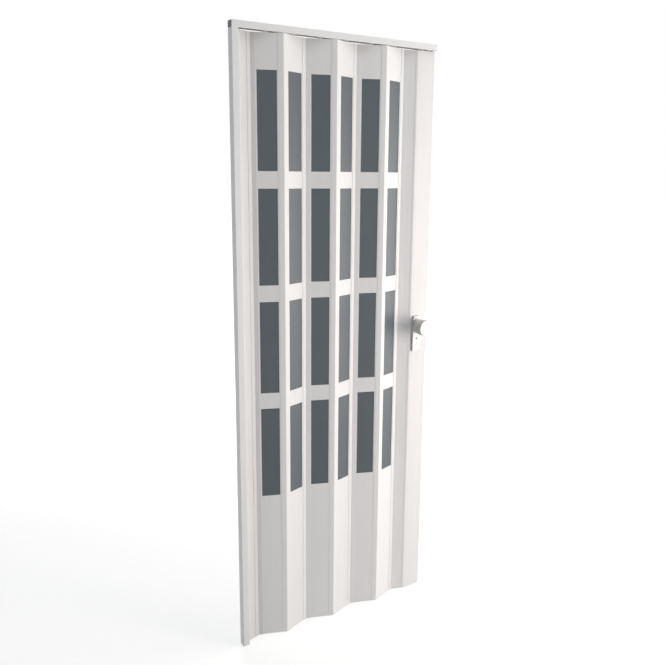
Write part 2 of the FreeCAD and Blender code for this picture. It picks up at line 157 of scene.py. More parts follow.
class Graph:
    """The nodes of one material or world."""

    def __init__(self, tree: bpy.types.NodeTree) -> None:
        """Empty a node tree and take it over."""
        tree.nodes.clear()
        self.tree = tree

    def add(
        self,
        kind: str,
        settings: Mapping[str, Any] | None = None,
        sockets: Mapping[str | int, Any] | None = None,
        output: str | int = 0,
    ) -> Signal:
        """Add a node.

        Args:
            kind: the node's type.
            settings: its properties, which are set before its sockets.
            sockets: a value or a link for each input, by name or number.
            output: the output that is handed back.

        Returns:
            That output.
        """
        node = self.tree.nodes.new(kind)
        for name, value in (settings or {}).items():
            setattr(node, name, value)
        for name, value in (sockets or {}).items():
            if isinstance(value, Signal):
                self.tree.links.new(value.socket, node.inputs[name])
            else:
                node.inputs[name].default_value = value
        return Signal(self, node.outputs[output] if node.outputs else node.inputs[0])

    def place(self, stretch: Sequence[float] = (1.0, 1.0, 1.0)) -> Signal:
        """Give the place on the object, in metres, with each axis stretched by a factor."""
        spot = self.add("ShaderNodeTexCoord", output="Object")
        return self.add("ShaderNodeVectorMath", {"operation": "MULTIPLY"}, {0: spot, 1: stretch})

    def noise(self, place: Signal, scale: float, detail: float = 2.0, rough: float = 0.5) -> Signal:
        """Add a noise.

        Args:
            place: where it is read.
            scale: its cells per metre.
            detail: how many finer layers it has.
            rough: how strong those are.

        Returns:
            Its value, around one half.
        """
        sockets = {"Vector": place, "Scale": scale, "Detail": detail, "Roughness": rough}
        return self.add("ShaderNodeTexNoise", None, sockets)

    def blend(self, amount: Signal | float, first: Colour | Signal, second: Colour | Signal) -> Signal:
        """Mix two colours.

        Args:
            amount: 0 for the first, 1 for the second.
            first: a colour or a link.
            second: a colour or a link.

        Returns:
            The mixed colour.
        """
        low, high = (value if isinstance(value, Signal) else (*value, 1.0) for value in (first, second))
        factor, near, far, result = MIX_SOCKETS
        sockets = {factor: amount, near: low, far: high}
        return self.add("ShaderNodeMix", {"data_type": "RGBA"}, sockets, result)

    def bump(self, height: Signal, depth: float, strength: float) -> Signal:
        """Turn a height from 0 to 1 into a normal, for a relief of that depth in metres."""
        sockets = {"Height": height, "Distance": depth, "Strength": strength}
        return self.add("ShaderNodeBump", None, sockets, "Normal")

    def surface(self, sockets: Mapping[str, Any]) -> None:
        """Give the material its one shader, with a value or a link for each of its inputs."""
        shader = self.add("ShaderNodeBsdfPrincipled", None, sockets)
        self.add("ShaderNodeOutputMaterial", None, {"Surface": shader})


def painted(name: str) -> tuple[bpy.types.Material, Graph]:
    """Start a material and its graph.

    Args:
        name: the material's name.

    Returns:
        The material and its empty graph.
    """
    material = bpy.data.materials.new(name)
    material.use_nodes = True
    return material, Graph(material.node_tree)


def scaled(colour: Colour, factor: float) -> Colour:
    """Multiply a colour's brightness."""
    red, green, blue = (channel * factor for channel in colour)
    return red, green, blue


@dataclass(frozen=True)
class Finish:
    """A finish of one of the record's slots, with reflections of its own breadth and strength.

    Its noises are in cells per metre. The colour loses up to the contrast, and the roughness varies by
    the spread.
    """

    name: str
    slot: str
    colour: Colour
    roughness: float
    specular: float = 0.5
    metallic: float = 0.0
    contrast: float = 0.03
    clouds: float = 14.0
    spread: float = 0.08
    smears: float = 60.0
    grit: float = 900.0
    depth: float = 0.05 * MM
    strength: float = 0.15

    def tone(self, graph: Graph) -> Signal:
        """Give the colour over the surface."""
        clouds = graph.noise(graph.place(), self.clouds)
        return graph.blend(clouds, scaled(self.colour, 1.0 - self.contrast), self.colour)

    def marks(self, graph: Graph) -> Signal:
        """Give the marks that the roughness follows, from 0 to 1."""
        return graph.noise(graph.place(), self.smears)

    def height(self, graph: Graph) -> Signal:
        """Give the relief's height, from 0 to 1."""
        return graph.noise(graph.place(), self.grit, detail=3.0)

    def material(self) -> bpy.types.Material:
        """Build the finish's material.

        Returns:
            The material.
        """
        material, graph = painted(self.name)
        graph.surface(
            {
                "Base Color": self.tone(graph),
                "Roughness": self.marks(graph) * self.spread + (self.roughness - self.spread / 2),
                "Normal": graph.bump(self.height(graph), self.depth, self.strength),
                "Metallic": self.metallic,
                "Specular IOR Level": self.specular,
            }
        )
        return material


@dataclass(frozen=True)
class ExtrudedVinyl(Finish):
    """White vinyl with the fine draw lines of its extrusion and a light orange peel."""

    clouds: float = 5.0
    spread: float = 0.1
    smears: float = 260.0
    depth: float = 0.06 * MM
    strength: float = 0.35
    grain: Grain = Grain.UPRIGHT
    streaks: float = 420.0
    streak_edge: tuple[float, float] = (0.35, 0.65)
    streak_share: float = 0.6
    peel: float = 700.0
    peel_share: float = 0.2

    def lines(self, graph: Graph, scale: float, detail: float = 2.0) -> Signal:
        """Give a noise drawn out along the extrusion."""
        return graph.noise(graph.place(self.grain.value), scale, detail, rough=0.6)

    def tone(self, graph: Graph) -> Signal:
        """Give a colour with faint streaks and slow clouds.

        Args:
            graph: the material's graph.

        Returns:
            The colour.
        """
        streaks = self.lines(graph, self.streaks, detail=3.0).eased(*self.streak_edge)
        clouds = graph.noise(graph.place(), self.clouds, detail=1.0)
        amount = streaks * self.streak_share + clouds * (1.0 - self.streak_share)
        low, high = scaled(self.colour, 1.0 - self.contrast), scaled(self.colour, 1.0 + self.contrast / 2)
        return graph.blend(amount, low, high)

    def marks(self, graph: Graph) -> Signal:
        """Give the draw lines."""
        return self.lines(graph, self.smears)

    def height(self, graph: Graph) -> Signal:
        """Give draw lines with the light orange peel."""
        peel = graph.noise(graph.place(), self.peel, detail=1.0)
        return self.lines(graph, self.grit, detail=3.0) * (1.0 - self.peel_share) + peel * self.peel_share


@dataclass(frozen=True)
class ShadedUndersideVinyl(ExtrudedVinyl):
    """Extruded vinyl, white outside, with shade painted in grey inside and under the profile.

    The white begins between two distances from the rail's middle plane, and between two heights at the top.
    """

    # Grey of the painted shade.
    painted_shade: Colour = (0.43, 0.425, 0.42)
    unshaded_side: tuple[float, float] = (13.2 * MM, 13.7 * MM)
    unshaded_top: tuple[float, float] = (2048.8 * MM, 2049.4 * MM)

    def tone(self, graph: Graph) -> Signal:
        """Give the white outside and the painted shade inside and under the lips.

        Args:
            graph: the material's graph.

        Returns:
            The colour.
        """
        across, up = (
            graph.add("ShaderNodeSeparateXYZ", None, {"Vector": graph.place()}, axis) for axis in ("Y", "Z")
        )
        # Painted shade: grey inside the profile and under its lips, white on its outer faces and top.
        unshaded = across.larger(0.0 - across).eased(*self.unshaded_side).larger(up.eased(*self.unshaded_top))
        return graph.blend(unshaded, self.painted_shade, super().tone(graph))


@dataclass(frozen=True)
class SmokedSheet(Finish):
    """Smoked glazing sheet with a cloudy depth and a soft, slightly wavy sheen."""

    clouds: float = 22.0
    cloud_edge: tuple[float, float] = (0.2, 0.8)
    cloud_stretch: tuple[float, float, float] = (1.0, 1.0, 0.4)
    spread: float = 0.06
    smears: float = 180.0
    grit: float = 1600.0
    depth: float = 0.12 * MM
    strength: float = 0.2
    deep: Colour = (0.03, 0.035, 0.04)
    waves: float = 18.0
    wave_stretch: tuple[float, float, float] = (1.0, 1.0, 0.5)
    wave_share: float = 0.9

    def tone(self, graph: Graph) -> Signal:
        """Give a dark tint with a cloudy depth."""
        clouds = graph.noise(graph.place(self.cloud_stretch), self.clouds, detail=3.0)
        return graph.blend(clouds.eased(*self.cloud_edge), self.deep, self.colour)

    def height(self, graph: Graph) -> Signal:
        """Give a slow wave with a fine frost on it."""
        wave = graph.noise(graph.place(self.wave_stretch), self.waves, detail=1.0)
        return wave * self.wave_share + graph.noise(graph.place(), self.grit) * (1.0 - self.wave_share)


@dataclass(frozen=True)
class MouldedPlastic(Finish):
    """Moulded plastic with a fine spark-eroded texture."""

    grit: float = 1500.0
    grit_edge: tuple[float, float] = (0.3, 0.7)
    depth: float = 0.06 * MM
    strength: float = 0.4

    def height(self, graph: Graph) -> Signal:
        """Give the pebbles of the texture."""
        return graph.noise(graph.place(), self.grit, detail=3.0, rough=0.6).eased(*self.grit_edge)


@dataclass(frozen=True)
class SatinMetal(Finish):
    """Satin nickel with a fine blasted surface, a slow tarnish and faint handling marks."""

    contrast: float = 0.07
    clouds: float = 35.0
    smears: float = 90.0
    smear_edge: tuple[float, float] = (0.35, 0.75)
    smear_stretch: tuple[float, float, float] = (1.0, 1.0, 0.35)
    grit: float = 2200.0
    depth: float = 0.02 * MM
    strength: float = 0.25
    speckle: float = 2600.0
    speckle_edge: tuple[float, float] = (0.4, 0.7)
    speckle_share: float = 0.4

    def tone(self, graph: Graph) -> Signal:
        """Give a colour with a slow tarnish and fine speckle.

        Args:
            graph: the material's graph.

        Returns:
            The colour.
        """
        speckle = graph.noise(graph.place(), self.speckle, detail=1.0).eased(*self.speckle_edge)
        tarnish = graph.noise(graph.place(), self.clouds)
        amount = speckle * self.speckle_share + tarnish * (1.0 - self.speckle_share)
        return graph.blend(amount, scaled(self.colour, 1.0 - self.contrast), self.colour)

    def marks(self, graph: Graph) -> Signal:
        """Give soft smears."""
        smears = graph.noise(graph.place(self.smear_stretch), self.smears, detail=3.0, rough=0.65)
        return smears.eased(*self.smear_edge)

    def height(self, graph: Graph) -> Signal:
        """Give the pebbles of a blasted surface."""
        return graph.noise(graph.place(), self.grit)


@dataclass(frozen=True)
class TurnedMetal(Finish):
    """Metal with the fine rings of turning, about the axis across the door."""

    contrast: float = 0.2
    grit: float = 2400.0
    ring_stretch: tuple[float, float, float] = (0.02, 1.0, 0.02)
    depth: float = 0.02 * MM
    strength: float = 0.5

    def tone(self, graph: Graph) -> Signal:
        """Give a colour with light and dark rings."""
        return graph.blend(self.height(graph), scaled(self.colour, 1.0 - self.contrast), self.colour)

    def height(self, graph: Graph) -> Signal:
        """Give the rings."""
        return graph.noise(graph.place(self.ring_stretch), self.grit)


FRAME_WHITE: Colour = (0.866, 0.864, 0.872)
FRAME_VINYL = ExtrudedVinyl("frame_vinyl", "frame_pvc", FRAME_WHITE, 0.46, 0.4, contrast=0.02)
# The rail's channel gets painted shade: grey inside it and under its lips.
RAIL_VINYL = ShadedUndersideVinyl(
    "rail_vinyl", "frame_pvc", FRAME_WHITE, 0.46, 0.4, contrast=0.02, grain=Grain.ALONG_RAIL
)
SLAT_VINYL = ExtrudedVinyl("slat_vinyl", "slat_pvc", (0.86, 0.85, 0.855), 0.5, 0.4)
POST_VINYL = ExtrudedVinyl("post_vinyl", "post_pvc", (0.868, 0.852, 0.855), 0.48, 0.4, contrast=0.02)
STRIP_VINYL = ExtrudedVinyl(
    "strip_vinyl", "strip_pvc", (0.862, 0.853, 0.857), 0.5, 0.4, contrast=0.015, depth=0.03 * MM
)
# The first pieces beside the jamb take a slightly greyer copy of the strip vinyl, as painted shade.
START_STRIP_SHADED = replace(STRIP_VINYL, name="start_strip_shaded_vinyl", colour=(0.775, 0.765, 0.768), contrast=0.02)
START_SLAT_SHADED = replace(START_STRIP_SHADED, name="start_slat_shaded_vinyl", slot="slat_pvc")
PANE_SHEET = SmokedSheet(
    "pane_sheet", "pane_acrylic", (0.078, 0.094, 0.107), 0.5, 0.64, deep=(0.073, 0.088, 0.1)
)
# Dark grey caps: partly the plastic's own colour, partly painted shade for the shadowed inside of the
# rail's ends.
CAP_PLASTIC_AND_SHADE = MouldedPlastic("cap_plastic", "cap_plastic", (0.2, 0.2, 0.205), 0.55, 0.4)
KNOB_METAL = SatinMetal("knob_metal", "handle_metal", (0.52, 0.52, 0.515), 0.58, metallic=1.0)
PLATE_METAL = SatinMetal("plate_metal", "handle_metal", (0.455, 0.455, 0.45), 0.6, metallic=1.0)
SPINDLE_STEEL = TurnedMetal("spindle_steel", "spindle_steel", (0.56, 0.55, 0.54), 0.35, metallic=1.0)
BARREL_METAL = TurnedMetal("barrel_metal", "barrel_dark", (0.02, 0.02, 0.022), 0.7, 0.15)
HANGER_NYLON = MouldedPlastic("hanger_nylon", "hanger_nylon", (0.82, 0.81, 0.78), 0.5, 0.4)


@cache
def made(finish: Finish) -> bpy.types.Material:
    """Give a finish's material, built once."""
    return finish.material()


@dataclass(frozen=True)
class Corner:
    """A corner of an outline and the radius that rounds it."""

    across: float
    up: float
    radius: float = 0.0

    def arc(self, before: "Corner", after: "Corner", steps: int) -> Iterator[Point]:
        """Go round the corner.

        Args:
            before: the corner ahead of it in the outline.
            after: the corner behind it.
            steps: how many edges its arc has.

        Yields:
            The points of its arc, or the corner itself where it is sharp.
        """
        here = Vector((self.across, self.up))
        if self.radius <= 0.0:
            yield self.across, self.up
            return
        back = Vector((before.across, before.up)) - here
        ahead = Vector((after.across, after.up)) - here
        half = back.angle(ahead) / 2
        cut = min(self.radius / math.tan(half), MOST_CUT * min(back.length, ahead.length))
        radius = cut * math.tan(half)
        back.normalize()
        ahead.normalize()
        centre = here + (back + ahead).normalized() * (radius / math.sin(half))
        first, last = here + back * cut - centre, here + ahead * cut - centre
        sweep = math.pi - 2 * half
        for step in range(steps + 1):
            share = step / steps
            spoke = first * math.sin((1 - share) * sweep) + last * math.sin(share * sweep)
            yield tuple(centre + spoke / math.sin(sweep))


def rounded(corners: Sequence[Corner], steps: int = 4) -> Outline:
    """Round an outline's corners.

    Args:
        corners: its corners in order.
        steps: how many edges each arc has.

    Returns:
        The points of the rounded outline.
    """
    count = len(corners)
    points: Outline = []
    for index, corner in enumerate(corners):
        points.extend(corner.arc(corners[index - 1], corners[(index + 1) % count], steps))
    return points


def oblong(left: float, right: float, low: float, high: float, radius: float = 0.0) -> list[Corner]:
    """Give the corners of an upright rectangle, all with the same radius."""
    spots = ((left, low), (right, low), (right, high), (left, high))
    return [Corner(across, up, radius) for across, up in spots]


def at(across: float = 0.0, through: float = 0.0, up: float = 0.0) -> Matrix:
    """Give the unturned frame at a place."""
    return Matrix.Translation((across, through, up))


def placed(name: str, data: bpy.types.ID) -> bpy.types.Object:
    """Put a mesh, a light or a camera into the scene.

    Args:
        name: the object's name.
        data: the mesh, light or camera.

    Returns:
        The object.
    """
    item = bpy.data.objects.new(name, data)
    bpy.context.scene.collection.objects.link(item)
    return item


def mirrored(half: Sequence[Corner]) -> list[Corner]:
    """Complete an outline that is the same above and below the line up = 0."""
    return [*half, *(Corner(c.across, -c.up, c.radius) for c in reversed(half))]


class Shape:
    """A closed mesh in the making."""

    def __init__(self) -> None:
        """Start an empty mesh."""
        self.mesh = bmesh.new()

    def prism(self, outline: Outline, low: float, high: float) -> "Shape":
        """Raise an outline.

        Args:
            outline: its points in the plane of the first two axes.
            low: where it starts on the third.
            high: where it ends.

        Returns:
            The shape.
        """
        rings = [[self.mesh.verts.new((x, y, level)) for x, y in outline] for level in (low, high)]
        self.mesh.faces.new(reversed(rings[0]))
        self.mesh.faces.new(rings[1])
        count = len(outline)
        for index in range(count):
            after = (index + 1) % count
            self.mesh.faces.new((rings[0][index], rings[0][after], rings[1][after], rings[1][index]))
        return self

    def turned(self, profile: Outline, steps: int) -> "Shape":
        """Turn a profile about the third axis.

        Args:
            profile: points as radius and height; it is closed where it starts and ends on the axis.
            steps: how many edges a full turn has.

        Returns:
            The shape.
        """
        rings = []
        for radius, height in profile:
            if radius < TOUCH:
                rings.append([self.mesh.verts.new((0.0, 0.0, height))])
                continue
            turns = (2 * math.pi * step / steps for step in range(steps))
            spots = ((radius * math.cos(turn), radius * math.sin(turn), height) for turn in turns)
            rings.append([self.mesh.verts.new(spot) for spot in spots])
        for ring, following in zip(rings, rings[1:]):
            for index in range(steps):
                after = (index + 1) % steps
                corners = [ring[index % len(ring)], ring[after % len(ring)]]
                corners += [following[after % len(following)], following[index % len(following)]]
                self.mesh.faces.new(dict.fromkeys(corners))
        return self

    def lattice(
        self,
        cuts: tuple[Sequence[float], Sequence[float], Sequence[float]],
        filled: Callable[[Vector], bool],
    ) -> "Shape":
        """Fill cells of a grid and close them with faces.

        Args:
            cuts: the grid's planes along each axis.
            filled: says whether the cell round a point is solid.

        Returns:
            The shape.
        """
        cells = product(*(range(len(axis) - 1) for axis in cuts))
        middles = {
            cell: Vector([(axis[i] + axis[i + 1]) / 2 for axis, i in zip(cuts, cell)]) for cell in cells
        }
        solid = {cell: middle for cell, middle in middles.items() if filled(middle)}
        corners: dict[tuple[int, ...], bmesh.types.BMVert] = {}

        def vertex(spot: tuple[int, ...]) -> bmesh.types.BMVert:
            """Give the vertex at a crossing of the grid.

            Args:
                spot: the crossing's number along each axis.

            Returns:
                The vertex, made when it is first asked for.
            """
            if spot not in corners:
                corners[spot] = self.mesh.verts.new([axis[i] for axis, i in zip(cuts, spot)])
            return corners[spot]

        for cell, axis, step in product(solid, range(3), (0, 1)):
            beside = list(cell)
            beside[axis] += 2 * step - 1
            if tuple(beside) in solid:
                continue
            ring = []
            for one, two in ((0, 0), (1, 0), (1, 1), (0, 1)):
                spot = list(cell)
                spot[axis] += step
                spot[(axis + 1) % 3] += one
                spot[(axis + 2) % 3] += two
                ring.append(vertex(tuple(spot)))
            self.mesh.faces.new(ring if step else reversed(ring))
        return self

    def eased(self, width: float, chosen: Callable[[bmesh.types.BMEdge], bool], steps: int = 2) -> "Shape":
        """Round sharp edges.

        Args:
            width: how far the rounding reaches.
            chosen: says whether an edge is rounded.
            steps: how many faces the rounding has.

        Returns:
            The shape.
        """
        self.mesh.normal_update()
        sharp = (e for e in self.mesh.edges if e.is_manifold and e.calc_face_angle(0) > EASED_ABOVE)
        picked = [edge for edge in sharp if chosen(edge)]
        settings = {"profile": 0.5, "affect": "EDGES", "clamp_overlap": True}
        bmesh.ops.bevel(self.mesh, geom=picked, offset=width, segments=steps, **settings)
        return self

    def rimmed(self, width: float, levels: Sequence[float], steps: int = 2) -> "Shape":
        """Round the sharp edges that lie at given levels of the third axis.

        Args:
            width: how far the rounding reaches.
            levels: the levels.
            steps: how many faces the rounding has.

        Returns:
            The shape.
        """

        def on_level(edge: bmesh.types.BMEdge) -> bool:
            """Say whether both ends of an edge are at one of the levels."""
            return any(all(abs(end.co.z - level) < TOUCH for end in edge.verts) for level in levels)

        return self.eased(width, on_level, steps)

    def moved(self, place: Matrix) -> "Shape":
        """Move the whole shape."""
        self.mesh.transform(place)
        return self

    def joined(self, other: "Shape") -> "Shape":
        """Take another shape's mesh in, as a separate shell.

        Args:
            other: the other shape.

        Returns:
            The shape.
        """
        mesh = bpy.data.meshes.new("joined")
        other.mesh.to_mesh(mesh)
        self.mesh.from_mesh(mesh)
        bpy.data.meshes.remove(mesh)
        return self

    def handed_over(self, name: str) -> bpy.types.Object:
        """Merge doubled points and hand the mesh over to an object of the scene.

        Args:
            name: the object's name.

        Returns:
            The object.
        """
        bmesh.ops.remove_doubles(self.mesh, verts=self.mesh.verts[:], dist=TOUCH)
        bmesh.ops.recalc_face_normals(self.mesh, faces=self.mesh.faces[:])
        data = bpy.data.meshes.new(name)
        self.mesh.to_mesh(data)
        self.mesh.free()
        return placed(name, data)

    def drilled(self, tool: "Shape") -> "Shape":
        """Take another shape away from this one.

        Args:
            tool: what is taken away.

        Returns:
            The shape.
        """
        body, cutter = self.handed_over("body"), tool.handed_over("cutter")
        step = body.modifiers.new("drill", "BOOLEAN")
        step.operation = "DIFFERENCE"
        step.solver = "EXACT"
        step.object = cutter
        result = bpy.data.meshes.new_from_object(body.evaluated_get(bpy.context.evaluated_depsgraph_get()))
        self.mesh = bmesh.new()
        self.mesh.from_mesh(result)
        for item in (body, cutter):
            data = item.data
            bpy.data.objects.remove(item)
            bpy.data.meshes.remove(data)
        bpy.data.meshes.remove(result)
        return self


def rod(radius: float, low: float, high: float, steps: int = 32) -> Shape:
    """Make a plain round cutter along the third axis."""
    return Shape().turned([(0.0, low), (radius, low), (radius, high), (0.0, high)], steps)


def deliver(shape: Shape, name: str, node: str, finish: Finish) -> None:
    """Turn a shape into a finished piece of the door.

    Args:
        shape: its mesh, in the door's frame.
        name: the piece's name.
        node: the solid that it stands for.
        finish: its finish, which names its slot.
    """
    item = shape.handed_over(name)
    item.data.shade_smooth()
    item.data.set_sharp_from_angle(angle=SHARP_ABOVE)
    normals = item.modifiers.new("normals", "WEIGHTED_NORMAL")
    normals.keep_sharp = True
    item.data.materials.append(made(finish))
    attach(item, BODY)
    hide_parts(node)
    LOG.info("%s stands for %s: %d faces", name, node, len(item.data.polygons))


@dataclass(frozen=True)
class Zigzag:
    """Plan of the folded door: its fold lines, and the frames of the slats between them."""

    pitch: float = 102.8 * MM
    angle: float = math.radians(19.8)
    start: float = 22.55 * MM
    slats: int = 6
    foot: float = 5.5 * MM
    head: float = 2026.6 * MM

    @property
    def run(self) -> float:
        """Length along the rail from fold to fold."""
        return self.pitch * math.cos(self.angle)

    @property
    def rise(self) -> float:
        """Distance of a fold line from the rail's middle plane."""
        return self.pitch * math.sin(self.angle) / 2

    @property
    def end(self) -> float:
        """Line where the zigzag meets the lead post."""
        return self.start + self.run * (self.slats + 1)

    @property
    def height(self) -> float:
        """Height of a slat."""
        return self.head - self.foot

    def fold(self, index: int) -> Vector:
        """Give the foot of a fold line; even ones lie to the back."""
        side = 1 if index % 2 == 0 else -1
        return Vector((self.start + self.run * (index + 0.5), side * self.rise, self.foot))

    def slat_frame(self, index: int) -> Matrix:
        """Give the frame of the slat behind a fold line: along the slat, through it, and up."""
        turn = -self.angle if index % 2 == 0 else self.angle
        return at(*self.fold(index)) @ Matrix.Rotation(turn, 4, "Z")


PLAN = Zigzag()


@dataclass(frozen=True)
class Screws:
    """Four screw holes through a channel's web: a pair near its ends and a pair nearer its middle."""

    inset: float
    pitch: float
    bore: float = 4.5 * MM
    reach: float = 3.2 * MM

    def drill(self, shape: Shape, length: float, place: Matrix) -> None:
        """Drill the holes.

        Args:
            shape: the channel.
            length: its length.
            place: the frame of its web: along it first, and through it last.
        """
        half, middle = self.pitch / 2, length / 2
        holes = Shape()
        for along in (self.inset, length - self.inset, middle - half, middle + half):
            holes.joined(rod(self.bore / 2, -self.reach, self.reach).moved(place @ at(along)))
        shape.drilled(holes)


@dataclass(frozen=True)
class HeadRail:
    """Head rail: a channel that opens downwards, with an end cap between its walls at each end."""

    length: float = 772.6078 * MM
    depth: float = 28 * MM
    height: float = 20.5 * MM
    top: float = 2050 * MM
    wall: float = 1.6 * MM
    slot: float = 16 * MM
    corner: float = 0.9 * MM
    lip: float = 0.5 * MM
    end_ease: float = 0.25 * MM
    screws: Screws = Screws(60 * MM, 217 * MM)
    cap_face: float = 1.5 * MM
    cap_plug: float = 12 * MM
    clearance: float = 0.3 * MM

    @property
    def frame(self) -> Matrix:
        """Frame of the section: across the door, up, and along the rail."""
        axes = Matrix(((0, 0, 1, 0), (1, 0, 0, 0), (0, 1, 0, 0), (0, 0, 0, 1)))
        return at(up=self.top - self.height) @ axes

    def section(self) -> Outline:
        """Give the channel's section, its web at the top.

        Returns:
            Its outline, across the door and up.
        """
        side, gap, wall = self.depth / 2, self.slot / 2, self.wall
        right = [Corner(gap, wall, self.lip), Corner(gap, 0.0, self.lip), Corner(side, 0.0, self.corner)]
        right += [Corner(side, self.height, self.corner)]
        left = [Corner(-c.across, c.up, c.radius) for c in reversed(right)]
        inside = side - wall
        inner = [Corner(-inside, wall, self.lip), Corner(-inside, self.height - wall, self.lip)]
        inner += [Corner(inside, self.height - wall, self.lip), Corner(inside, wall, self.lip)]
        return rounded([*right, *left, *inner])

    def channel(self) -> Shape:
        """Build the channel with its fixing holes.

        Returns:
            Its shape.
        """
        shape = Shape().prism(self.section(), 0.0, self.length)
        shape.rimmed(self.end_ease, (0.0, self.length)).moved(self.frame)
        self.screws.drill(shape, self.length, at(up=self.top))
        return shape

    def cap(self, start: float, stop: float, plug_stop: float) -> Shape:
        """Build an end cap.

        Args:
            start: place of its outer face along the rail.
            stop: where its face plate ends.
            plug_stop: where its plug ends.

        Returns:
            Its shape.
        """
        side, low, high = self.depth / 2 - self.wall, self.wall, self.height - self.wall
        plate, loose = oblong(-side, side, low, high, self.lip), self.clearance
        plug = oblong(-side + loose, side - loose, low + loose, high - loose, self.lip)
        face = Shape().prism(rounded(plate), min(start, stop), max(start, stop))
        body = Shape().prism(rounded(plug), min(stop, plug_stop), max(stop, plug_stop))
        body.rimmed(2 * self.end_ease, (plug_stop,))
        return face.rimmed(self.end_ease, (start,)).joined(body).moved(self.frame)

    def build(self) -> None:
        """Make the rail and its caps."""
        deliver(self.channel(), "rail_channel", "head_rail", RAIL_VINYL)
        reach = self.cap_face + self.cap_plug
        near = self.cap(0.0, self.cap_face, reach)
        deliver(near, "rail_plug_wall", "rail_cap_wall", CAP_PLASTIC_AND_SHADE)
        far = self.cap(self.length, self.length - self.cap_face, self.length - reach)
        deliver(far, "rail_plug_free", "rail_cap_free", CAP_PLASTIC_AND_SHADE)


@dataclass(frozen=True)
class WallJamb:
    """Wall jamb: a channel that stands on the floor and opens towards the slats."""

    width: float = 22.2 * MM
    depth: float = 28 * MM
    height: float = 2029.5 * MM
    wall: float = 1.6 * MM
    mouth: float = 12 * MM
    corner: float = 0.9 * MM
    lip: float = 0.5 * MM
    end_ease: float = 0.25 * MM
    screws: Screws = Screws(110 * MM, 603 * MM)

    def section(self) -> Outline:
        """Give the channel's section, its web on the wall.

        Returns:
            Its outline, along the rail and across it.
        """
        side, gap, wall = self.depth / 2, self.mouth / 2, self.wall
        inside = side - wall
        half = [Corner(0.0, -side, self.corner), Corner(self.width, -side, self.corner)]
        half += [Corner(self.width, -gap, self.lip), Corner(self.width - wall, -gap, self.lip)]
        half += [Corner(self.width - wall, -inside, self.lip), Corner(wall, -inside, self.lip)]
        return rounded(mirrored(half))

    def build(self) -> None:
        """Make the jamb with its fixing holes."""
        shape = Shape().prism(self.section(), 0.0, self.height)
        shape.rimmed(self.end_ease, (0.0, self.height))
        self.screws.drill(shape, self.height, Matrix.Rotation(-math.pi / 2, 4, "Y"))
        deliver(shape, "jamb_channel", "wall_jamb", FRAME_VINYL)


@dataclass(frozen=True)
class Arm:
    """Arm of a hinge strip: its direction, length, and the gap between fold line and slat."""

    direction: float
    reach: float
    gap: float


